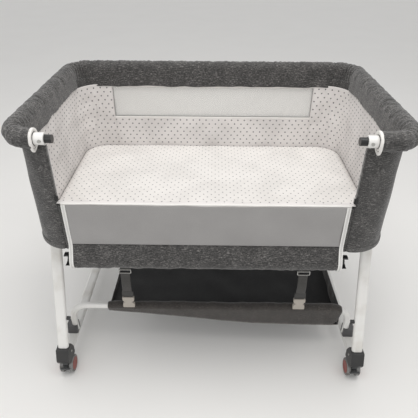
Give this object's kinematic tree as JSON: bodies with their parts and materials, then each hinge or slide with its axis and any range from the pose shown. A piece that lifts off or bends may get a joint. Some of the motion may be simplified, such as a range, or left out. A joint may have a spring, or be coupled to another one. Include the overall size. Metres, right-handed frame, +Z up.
{
  "type": "bassinet",
  "caption": "Bedside bassinet on a wheeled tube stand, with a padded rail, fabric walls, mesh window, mattress, lowered front side, tether straps and a storage tray.",
  "frame": {"origin": "centre of the footprint, on the floor under the casters", "axes": "+X to the right along the length as seen from the open front, +Y towards the back wall, +Z up"},
  "size_m": [0.9, 0.6076, 0.748],
  "materials": {
    "melange_fabric": "woven dark grey melange",
    "white_binding": "white woven tape",
    "mesh_fabric": "fine knitted mesh",
    "dotted_lining": "white cotton with small grey dots",
    "mattress_cover": "white quilted cotton with small grey dots",
    "white_steel": "white powder coat",
    "bare_steel": "zinc plated",
    "white_plastic": "moulded",
    "black_plastic": "fine moulded grain",
    "grey_plastic": "fine moulded grain",
    "board": "hardboard",
    "tray_fabric": "coated polyester",
    "webbing": "woven webbing",
    "ring_metal": "plated wire",
    "buckle_plastic": "moulded",
    "caster_plastic": "moulded",
    "wheel_grey": "grey tread",
    "wheel_red": "moulded"
  },
  "bodies": {
    "stand": {"leg_front_left": "white_steel", "leg_front_right": "white_steel", "leg_rear_left": "white_steel", "leg_rear_right": "white_steel", "foot_rail_left": "white_steel", "foot_rail_right": "white_steel", "foot_housings": "black_plastic", "crossbar_front": "white_steel", "crossbar_rear": "white_steel", "crossbar_blocks": "grey_plastic", "leg_knobs": "black_plastic", "housing_screws": "bare_steel", "storage_tray": "tray_fabric"},
    "bassinet": {"rail_tube": "bare_steel", "rail_pad_back": "melange_fabric", "rail_pad_left": "melange_fabric", "rail_pad_right": "melange_fabric", "rail_end_bindings": "white_binding", "stub_sleeves": "white_plastic", "stub_plugs": "black_plastic", "end_wall_left": "melange_fabric", "end_wall_right": "melange_fabric", "back_wall": "melange_fabric", "back_band": "melange_fabric", "front_wall": "melange_fabric", "mesh_window": "mesh_fabric", "lining": "dotted_lining", "end_frame_left": "bare_steel", "end_frame_right": "bare_steel", "base_frame": "bare_steel", "bottom_cover": "melange_fabric", "base_board": "board", "strap_webbing": "webbing", "strap_rings": "ring_metal", "strap_buckles": "buckle_plastic"},
    "mattress": {"mattress": "mattress_cover"},
    "drop_side": {"drop_mesh": "mesh_fabric", "drop_binding": "white_binding", "drop_zip_tapes": "white_binding", "drop_rail_tube": "bare_steel", "drop_rail_cups": "black_plastic", "drop_pad": "melange_fabric"},
    "zip_slider_left": {"zip_slider_left": "black_plastic"},
    "snap_button_left": {"snap_button_left": "black_plastic"},
    "caster_front_left": {"caster_body_front_left": "caster_plastic"},
    "wheels_front_left": {"caster_wheels_front_left": "wheel_grey", "caster_discs_front_left": "wheel_red"},
    "caster_rear_left": {"caster_body_rear_left": "caster_plastic"},
    "wheels_rear_left": {"caster_wheels_rear_left": "wheel_grey", "caster_discs_rear_left": "wheel_red"},
    "brake_front_left": {"caster_brake_front_left": "black_plastic"},
    "zip_slider_right": {"zip_slider_right": "black_plastic"},
    "snap_button_right": {"snap_button_right": "black_plastic"},
    "caster_front_right": {"caster_body_front_right": "caster_plastic"},
    "wheels_front_right": {"caster_wheels_front_right": "wheel_grey", "caster_discs_front_right": "wheel_red"},
    "caster_rear_right": {"caster_body_rear_right": "caster_plastic"},
    "wheels_rear_right": {"caster_wheels_rear_right": "wheel_grey", "caster_discs_rear_right": "wheel_red"},
    "brake_front_right": {"caster_brake_front_right": "black_plastic"}
  },
  "joints": [
    {"name": "height_adjust", "type": "slide", "parent": "stand", "child": "bassinet", "axis": [0, 0, 1], "range_m": [0, 0.1]},
    {"name": "side_drop", "type": "hinge", "parent": "bassinet", "child": "drop_side", "pos_m": [0, -0.258, 0.565], "axis": [-1, 0, 0], "range_deg": [0, 178.04]},
    {"name": "mattress_lift", "type": "slide", "parent": "bassinet", "child": "mattress", "axis": [0, 0, 1], "range_m": [0, 0.3]},
    {"name": "zip_left", "type": "slide", "parent": "bassinet", "child": "zip_slider_left", "axis": [0, 0, 1], "range_m": [0, 0.11]},
    {"name": "snap_left", "type": "slide", "parent": "bassinet", "child": "snap_button_left", "axis": [0, 1, 0], "range_m": [0, 0.0024], "stiffness_N_per_m": 300, "springref_m": -0.001},
    {"name": "swivel_front_left", "type": "hinge", "parent": "stand", "child": "caster_front_left", "pos_m": [-0.41, -0.286, 0.05], "axis": [0, 0, 1], "continuous": true},
    {"name": "roll_front_left", "type": "hinge", "parent": "caster_front_left", "child": "wheels_front_left", "pos_m": [-0.41, -0.272, 0.025], "axis": [1, 0, 0], "continuous": true},
    {"name": "swivel_rear_left", "type": "hinge", "parent": "stand", "child": "caster_rear_left", "pos_m": [-0.41, 0.286, 0.05], "axis": [0, 0, 1], "continuous": true},
    {"name": "roll_rear_left", "type": "hinge", "parent": "caster_rear_left", "child": "wheels_rear_left", "pos_m": [-0.41, 0.272, 0.025], "axis": [1, 0, 0], "continuous": true},
    {"name": "brake_front_left", "type": "hinge", "parent": "caster_front_left", "child": "brake_front_left", "pos_m": [-0.41, -0.2865, 0.0355], "axis": [1, 0, 0], "range_deg": [0, 8]},
    {"name": "zip_right", "type": "slide", "parent": "bassinet", "child": "zip_slider_right", "axis": [0, 0, 1], "range_m": [0, 0.11]},
    {"name": "snap_right", "type": "slide", "parent": "bassinet", "child": "snap_button_right", "axis": [0, 1, 0], "range_m": [0, 0.0024], "stiffness_N_per_m": 300, "springref_m": -0.001},
    {"name": "swivel_front_right", "type": "hinge", "parent": "stand", "child": "caster_front_right", "pos_m": [0.41, -0.286, 0.05], "axis": [0, 0, 1], "continuous": true},
    {"name": "roll_front_right", "type": "hinge", "parent": "caster_front_right", "child": "wheels_front_right", "pos_m": [0.41, -0.272, 0.025], "axis": [1, 0, 0], "continuous": true},
    {"name": "swivel_rear_right", "type": "hinge", "parent": "stand", "child": "caster_rear_right", "pos_m": [0.41, 0.286, 0.05], "axis": [0, 0, 1], "continuous": true},
    {"name": "roll_rear_right", "type": "hinge", "parent": "caster_rear_right", "child": "wheels_rear_right", "pos_m": [0.41, 0.272, 0.025], "axis": [1, 0, 0], "continuous": true},
    {"name": "brake_front_right", "type": "hinge", "parent": "caster_front_right", "child": "brake_front_right", "pos_m": [0.41, -0.2865, 0.0355], "axis": [1, 0, 0], "range_deg": [0, 8]}
  ]
}
